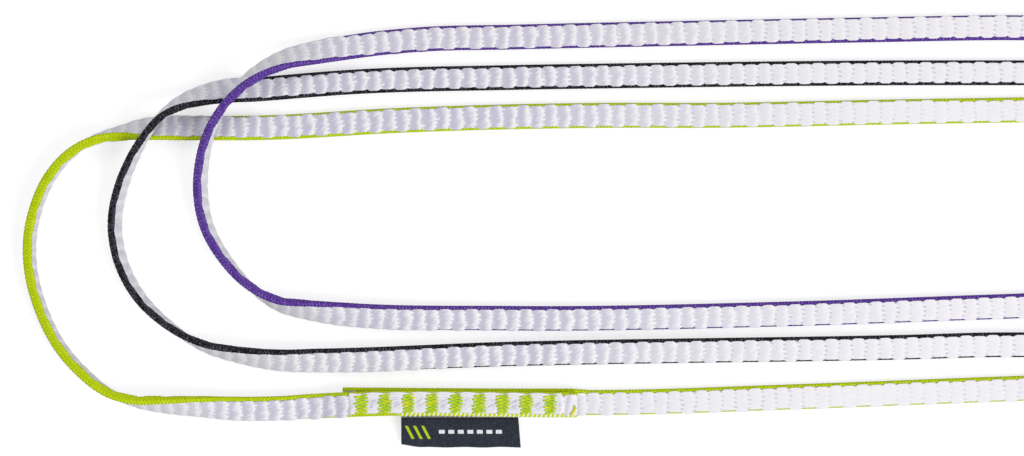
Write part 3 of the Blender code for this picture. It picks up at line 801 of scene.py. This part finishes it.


# gel-spun polyethylene, woven undyed: waxy white; each rib starts in painted shade, on its slope
# turned from the lamp, and ends in bright ragged strands
def polyethyleneWeave():
    look = {
        "rib": "#F8F6F6", "streak": "#ECEAEE", "paintedShadeColour": "#B3B0C8",
        # how far the strands at a rib's end reach past it or fall short, their run and width
        "ragged": 0.75, "raggedPitch": (3.0, 0.75), "raggedRise": -0.5, "raggedMarks": (0.3, 0.7),
        # the painted shade over the start of a rib, its slope turned from the lamp, over these
        # shares of it
        "ribShadeRange": (0.28, 0.88), "ribShadeDepth": 0.68,
        "dotPitch": 1.44, "dotDrift": 9.0, "dotReach": (0.3, 0.75), "dotEdge": (0.2, 0.9),
        "dotShade": 0.65, "dotLeast": 0.35, "dotsFull": 0.12,
        "patchScale": 0.35, "patchMarks": (0.35, 0.6),
        "archRise": 1.0, "archPitch": 0.85, "archShade": 0.3,
        "hollowShade": 0.7, "hollowPuff": (0.7, 1.0), "hollowAcross": (1.0, 2.4),
        "sewnFrom": 0.02,
        "streakScales": (0.35, 2.4, 1),
        "threadPitch": 0.5, "twillPitch": 0.9, "twillSlant": 1.6, "threadShare": 0.25,
        "relief": (0.5, 0.16 * mm),
    }
    material, tree, shader = newMaterial("gelSpunPolyethyleneWeave", roughness=0.6, gloss=0.3)
    position, along, across, _ = readLay(tree)
    _, counted, full, puffed = readLay(tree, "relief")
    # strands that rise to the right shift the end of each rib
    settings = {1: look["raggedRise"]}
    risen = addNode(tree, "Math MULTIPLY_ADD", settings, {0: along, 2: across})[0]
    slanted = addNode(tree, "CombineXYZ", links={0: along, 1: risen})[0]
    run, wide = look["raggedPitch"]
    settings = {1: (1 / run, 1 / wide, 1)}
    stretched = addNode(tree, "VectorMath MULTIPLY", settings, {0: slanted})[0]
    settings = {"Scale": 1.0, "Detail": 1.0}
    strands = addNode(tree, "TexNoise", settings, {"Vector": stretched})["Fac"]
    low, high = look["raggedMarks"]
    settings = {1: low, 2: high, 3: -look["ragged"], 4: look["ragged"]}
    ragged = addNode(tree, "MapRange", settings, {0: strands})[0]
    shifted = addNode(tree, "Math ADD", links={0: counted, 1: ragged})[0]
    ribs = addNode(tree, "Math DIVIDE", {1: weave["ribPitch"]}, {0: shifted})[0]
    share = addNode(tree, "Math FRACT", links={0: ribs})[0]
    # painted shade on the start of each rib, as deep as the rib is full
    start, stop = look["ribShadeRange"]
    settings = {1: start, 2: stop, 3: look["ribShadeDepth"], 4: 0.0}
    ribShade = addNode(tree, "MapRange SMOOTHSTEP", settings, {0: share})[0]
    ribShade = product(tree, ribShade, full)
    # flatter stretches keep only a row of painted shade dots in each groove
    straight = addNode(tree, "Math DIVIDE", {1: weave["ribPitch"]}, {0: counted})[0]
    gap = addNode(tree, "Math PINGPONG", {1: 0.5}, {0: straight})[0]
    nearest, farthest = (reach / weave["ribPitch"] for reach in look["dotReach"])
    settings = {1: nearest, 2: farthest, 3: 1.0, 4: 0.0}
    column = addNode(tree, "MapRange SMOOTHSTEP", settings, {0: gap})[0]
    floats = waveOf(tree, (across, look["dotPitch"]), (along, look["dotDrift"]))
    low, high = look["dotEdge"]
    dots = addNode(tree, "MapRange SMOOTHSTEP", {1: low, 2: high}, {0: floats})[0]
    settings = {"Scale": look["patchScale"], "Detail": 2.0}
    patches = addNode(tree, "TexNoise", settings, {"Vector": position})["Fac"]
    low, high = look["patchMarks"]
    settings = {1: low, 2: high, 3: look["dotLeast"] * look["dotShade"], 4: look["dotShade"]}
    uneven = addNode(tree, "MapRange", settings, {0: patches})[0]
    present = addNode(tree, "MapRange", {1: 0.0, 2: look["dotsFull"]}, {0: full})[0]
    dots = product(tree, dots, uneven, present, column)
    shade = addNode(tree, "Math MAXIMUM", links={0: dots, 1: ribShade})[0]
    # on the seam the warp arches round each bar tack in strands, with painted shade lines between
    # the strands and a painted shade patch in the hollow between two tacks
    outwards = addNode(tree, "Math ABSOLUTE", links={0: across})[0]
    settings = {1: -look["archRise"]}
    arch = addNode(tree, "Math MULTIPLY_ADD", settings, {0: puffed, 2: outwards})[0]
    arches = waveOf(tree, (arch, look["archPitch"]))
    arches = addNode(tree, "Math MULTIPLY", {1: look["archShade"]}, {0: arches})[0]
    low, high = look["hollowPuff"]
    hollow = addNode(tree, "MapRange SMOOTHSTEP", {1: low, 2: high}, {0: puffed})[0]
    near, far = look["hollowAcross"]
    settings = {1: near, 2: far, 3: look["hollowShade"], 4: 0.0}
    middle = addNode(tree, "MapRange SMOOTHSTEP", settings, {0: outwards})[0]
    low, high = look["patchMarks"]
    mottled = addNode(tree, "MapRange", {1: low, 2: high}, {0: strands})[0]
    hollow = product(tree, hollow, middle, mottled)
    sewn = addNode(tree, "Math MAXIMUM", links={0: arches, 1: hollow})[0]
    onSeam = addNode(tree, "Math GREATER_THAN", {1: look["sewnFrom"]}, {0: puffed})[0]
    shade = addNode(tree, "Mix", links={0: onSeam, 2: shade, 3: sewn})[0]
    settings = {1: look["streakScales"]}
    stretched = addNode(tree, "VectorMath MULTIPLY", settings, {0: position})[0]
    settings = {"Scale": 1.0, "Detail": 3.0}
    streaks = addNode(tree, "TexNoise", settings, {"Vector": stretched})["Fac"]
    settings = {6: linearColour(look["rib"]), 7: linearColour(look["streak"])}
    light = addNode(tree, "Mix RGBA", settings, {0: streaks})[2]
    # painted shade in lavender grey over the white ribs: rib slopes, groove dots and seam hollows
    settings = {7: linearColour(look["paintedShadeColour"])}
    colour = addNode(tree, "Mix RGBA", settings, {0: shade, 6: light})[2]
    tree.links.new(colour, shader.inputs["Base Color"])
    fine = waveOf(tree, (across, look["threadPitch"]))
    twill = waveOf(tree, (along, look["twillPitch"]), (across, look["twillSlant"]))
    threads = product(tree, fine, twill)
    raised = product(tree, strands, share)
    settings = {1: look["threadShare"]}
    height = addNode(tree, "Math MULTIPLY_ADD", settings, {0: threads, 2: raised})[0]
    addRelief(tree, shader, height, *look["relief"])
    return material


def addRelief(tree, shader, height, strength, depth):
    settings = {"Strength": strength, "Distance": depth}
    bump = addNode(tree, "Bump", settings, {"Height": height})[0]
    tree.links.new(bump, shader.inputs["Normal"])


# dyed polyamide yarn, woven tight into the edge: matt, with painted shade in the dips between
# threads and painted glints where threads turn over on their crowns; under the label's seam a pale
# thread laces the edge
def polyamideSelvedge(name, dipShadeHex, midHex, glintHex, laceHex, knotHex):
    look = {
        "twillPitch": 1.1, "turnPitch": 1.7,
        "glintPitch": 0.7, "glintMarks": (0.42, 0.6), "glintRaised": (0.6, 1.0),
        "lacePitch": 1.43, "laceSlant": 3.0, "laceMarks": (0.6, 0.75),
        "relief": (0.6, 0.15 * mm),
    }
    material, tree, shader = newMaterial(name, roughness=0.85, gloss=0.15)
    position, along, turn, _ = readLay(tree)
    twill = waveOf(tree, (along, look["twillPitch"]), (turn, look["turnPitch"]))
    counter = waveOf(tree, (along, look["twillPitch"]), (turn, -look["turnPitch"]))
    woven = addNode(tree, "Math MAXIMUM", links={0: twill, 1: counter})[0]
    # the yarn's own colour on the crowns, painted darker as shade in the dips between threads
    settings = {6: linearColour(dipShadeHex), 7: linearColour(midHex)}
    yarn = addNode(tree, "Mix RGBA", settings, {0: woven})[2]
    # painted glints, scattered at random over the raised crowns of the threads
    settings = {"Scale": 1 / look["glintPitch"], "Detail": 2.0}
    glints = addNode(tree, "TexNoise", settings, {"Vector": position})["Fac"]
    low, high = look["glintMarks"]
    glints = addNode(tree, "MapRange", {1: low, 2: high}, {0: glints})[0]
    low, high = look["glintRaised"]
    raised = addNode(tree, "MapRange SMOOTHSTEP", {1: low, 2: high}, {0: woven})[0]
    glints = product(tree, glints, raised)
    lacing = waveOf(tree, (along, look["lacePitch"]), (turn, look["laceSlant"]))
    low, high = look["laceMarks"]
    lacing = addNode(tree, "MapRange", {1: low, 2: high}, {0: lacing})[0]
    laced = addNode(tree, "Attribute", {"attribute_name": "laced"})["Fac"]
    lacing = product(tree, lacing, laced)
    for share, hexText in ((glints, glintHex), (laced, knotHex), (lacing, laceHex)):
        settings = {7: linearColour(hexText)}
        yarn = addNode(tree, "Mix RGBA", settings, {0: share, 6: yarn})[2]
    tree.links.new(yarn, shader.inputs["Base Color"])
    addRelief(tree, shader, woven, *look["relief"])
    return material


# bonded polyester sewing thread, wound: a silky satin that catches more light than the tape
def polyesterThread(name, mainHex, strayHex):
    look = {
        "strayPitch": 1.5, "strayMarks": (0.5, 0.7), "fibrePitch": 0.25,
        "relief": (0.5, 0.1 * mm),
    }
    material, tree, shader = newMaterial(name, roughness=0.55, gloss=0.3)
    place = addNode(tree, "TexCoord")["Object"]
    stray, fibres = (
        addNode(tree, "TexNoise", {"Scale": 1 / (look[key] * mm), "Detail": 1.0}, {"Vector": place})
        for key in ("strayPitch", "fibrePitch"))
    low, high = look["strayMarks"]
    share = addNode(tree, "MapRange", {1: low, 2: high}, {0: stray["Fac"]})[0]
    settings = {6: linearColour(mainHex), 7: linearColour(strayHex)}
    colour = addNode(tree, "Mix RGBA", settings, {0: share})[2]
    tree.links.new(colour, shader.inputs["Base Color"])
    addRelief(tree, shader, fibres["Fac"], *look["relief"])
    return material


def between(tree, value, low, high):
    # 1 where a position lies between two others
    above = addNode(tree, "Math GREATER_THAN", {1: low}, {0: value})[0]
    below = addNode(tree, "Math LESS_THAN", {1: high}, {0: value})[0]
    return product(tree, above, below)


def repeated(tree, value, pitch, share):
    # 1 over the first share of each pitch
    turns = addNode(tree, "Math DIVIDE", {1: pitch}, {0: value})[0]
    part = addNode(tree, "Math FRACT", links={0: turns})[0]
    return addNode(tree, "Math LESS_THAN", {1: share}, {0: part})[0]


# woven polyester ribbon, cut hot: close cross ribs, nearly matt, with a bright woven-in trim
def polyesterRibbon():
    look = {
        "ground": "#383D49", "mottleAndDipShade": "#1A1E27", "lime": "#B9CF1B", "pale": "#E9EAEE",
        "ribPitch": 0.4, "warpPitch": 0.62, "wovenShare": 0.25, "mixedShare": 0.67,
        "speckleScale": 1.4, "speckleMarks": (0.3, 0.7),
        # along from and to, out from and to
        "barPitch": 2.6, "barShare": 0.36, "barSlant": -0.5, "bars": (0.0, 7.8, 2.4, 6.6),
        "dashPitch": 3.0, "dashShare": 0.62, "dashes": (12.0, 33.0, 3.7, 4.9),
        "relief": (0.5, 0.12 * mm),
    }
    material, tree, shader = newMaterial("wovenPolyesterRibbon", roughness=0.85, gloss=0.2)
    position, along, out, _ = readLay(tree)
    ribs = waveOf(tree, (out, look["ribPitch"]))
    warp = waveOf(tree, (along, look["warpPitch"]))
    woven = addNode(tree, "Math ADD", links={0: ribs, 1: warp})[0]
    settings = {"Scale": look["speckleScale"], "Detail": 3.0}
    speckle = addNode(tree, "TexNoise", settings, {"Vector": position})["Fac"]
    low, high = look["speckleMarks"]
    speckle = addNode(tree, "MapRange", {1: low, 2: high}, {0: speckle})[0]
    # the ribbon's ground is mottled at random and painted darker as shade in the dips of its weave
    settings = {1: look["wovenShare"]}
    mixed = addNode(tree, "Math MULTIPLY_ADD", settings, {0: woven, 2: speckle})[0]
    mixed = addNode(tree, "Math MULTIPLY", {1: look["mixedShare"]}, {0: mixed})[0]
    settings = {6: linearColour(look["mottleAndDipShade"]), 7: linearColour(look["ground"])}
    colour = addNode(tree, "Mix RGBA", settings, {0: mixed})[2]
    settings = {1: look["barSlant"]}
    slanted = addNode(tree, "Math MULTIPLY_ADD", settings, {0: out, 2: along})[0]
    for value, kind, room, hexText in (
            (slanted, "bar", look["bars"], look["lime"]),
            (along, "dash", look["dashes"], look["pale"])):
        trim = repeated(tree, value, look[kind + "Pitch"], look[kind + "Share"])
        inside = [between(tree, value, *room[:2]), between(tree, out, *room[2:])]
        trim = product(tree, trim, *inside)
        settings = {7: linearColour(hexText)}
        colour = addNode(tree, "Mix RGBA", settings, {0: trim, 6: colour})[2]
    tree.links.new(colour, shader.inputs["Base Color"])
    addRelief(tree, shader, woven, *look["relief"])
    return material


webbingMaterial = polyethyleneWeave()
ribbonMaterial = polyesterRibbon()

# what differs between the three: the bead's half height where it stands, the length of seam that
# is laced, how far the lower ply peeps out, how much of each selvedge shows on the near and, by
# place along x, on the far run, how full the ribs are and so how deep their painted shade is, and
# the colours
slings = {
    "green": {
        "route": greenRoute, "seed": 3, "standingHalf": 1.5, "laced": 57, "fan": 0.62,
        "nearInner": 1.0, "nearOuter": -0.25,
        "farInner": [(-235, 1.0), (-215, 0.5), (-174, 0.3), (-100, 0.1)],
        "farOuter": [(-225, 0.3), (-174, 0.45), (-60, 0.4), (-8, 0.35), (5, 1.0)],
        "yarn": ("#9DB805", "#BFD708", "#DAE62A", "#F6F4E8", "#CBDC0C"),
        "thread": ("#B0D21C", "#DDE02C"),
        "nearFull": [(-190, 1.0), (-120, 0.4), (-80, 0.1), (-52, 0.1), (-30, 0.02), (60, 0.15)],
        "farFull": [(-140, 1.0), (-90, 0.6), (-40, 0.12), (0, 0.04), (25, 0.06), (70, 0.3)],
        "tail": ("#DCD63A", "#B9D60A"),
    },
    "black": {
        "route": blackRoute, "seed": 5, "standingHalf": 1.2, "laced": 0, "fan": 0.0,
        "nearInner": 0.9, "nearOuter": 0.1,
        "farInner": [(-225, 1.0), (-190, 0.8), (-60, 0.65), (0, 0.85)],
        "farOuter": [(-218, 1.35), (-175, 1.2), (-120, 0.95), (-20, 0.95), (30, 0.6)],
        "yarn": ("#030305", "#09090D", "#5C5A66", "#D9DAE0", "#131319"),
        "thread": ("#16171C", "#33343B"),
        "nearFull": [(-130, 1.0), (-90, 0.6), (-40, 0.25), (0, 0.12), (60, 0.2)],
        "farFull": [(-130, 1.0), (-90, 0.6), (-40, 0.15), (25, 0.1), (70, 0.3)],
        "tail": ("#14171E", "#2E323C"),
    },
    "purple": {
        "route": purpleRoute, "seed": 8, "standingHalf": 1.42, "laced": 0, "fan": 0.0,
        "nearInner": 1.0, "nearOuter": 0.0,
        "farInner": [(-205, 1.0), (-188, 0.4), (-176, 0.1), (-100, 0.15), (-60, 0.6), (0, 1.0)],
        "farOuter": [(-196, 0.0), (-190, 0.8), (-130, 0.7), (-100, 0.5), (-60, 0.1), (0, 0.0)],
        "yarn": ("#3E2575", "#5B3896", "#8464B8", "#DCD8EA", "#5B3896"),
        "thread": ("#4D2F8A", "#6C4DA8"),
        "nearFull": [(-130, 1.0), (-90, 0.7), (-40, 0.3), (0, 0.15), (60, 0.2)],
        "farFull": [(-130, 0.9), (-90, 0.6), (-40, 0.2), (25, 0.12), (70, 0.3)],
        "tail": ("#432686", "#6343A6"),
    },
}
for colour, sling in slings.items():
    line = makeLine(sling["route"])
    body = f"{colour}_sling"
    yarn = polyamideSelvedge(f"{colour}PolyamideSelvedge", *sling["yarn"])
    thread = polyesterThread(f"{colour}PolyesterThread", *sling["thread"])
    webbing = makeWebbing(f"{colour}_webbing", line, sling, webbingMaterial, body,
                          [f"{colour}_tape"])
    for side, word in ((1, "inner"), (-1, "outer")):
        makeSelvedge(f"{colour}_selvedge_{word}", line, side, sling, yarn, body,
                                   [f"{colour}_{word}_edge"])
    chance = random.Random(sling["seed"])
    for k in range(seam["tacks"]):
        makeTackStitches(f"{colour}_stitches_{k + 1}", line, k, chance, thread, body,
                                       [f"{colour}_bartack_{k + 1}"])
    points = [onLine(line, along, across, weave["half"]) for along, across in tack["tail"]]
    end = polyesterThread(f"{colour}ThreadEnd", *sling["tail"])
    tail = threadMesh(f"{colour}_thread_tail", points, tack["tailThread"] * mm, end)
    finishPiece(f"{colour}_thread_tail", tail, body)
    path = [tuple(ring[1]) for ring in line["rings"][::tape["pathStep"]]]
    path.append(tuple(line["rings"][-1][1]))
    print(colour, "sling:", round(line["length"] / mm, 1), "mm of tape")

makeLabel("label_ribbon", flagPoint, label["root"], "label_flag", ["label"])
makeLabel("label_ribbon_hem", hemPoint, label["root"] + label["hemGap"], "green_sling",
          ["label_hem"])
print("label ready")
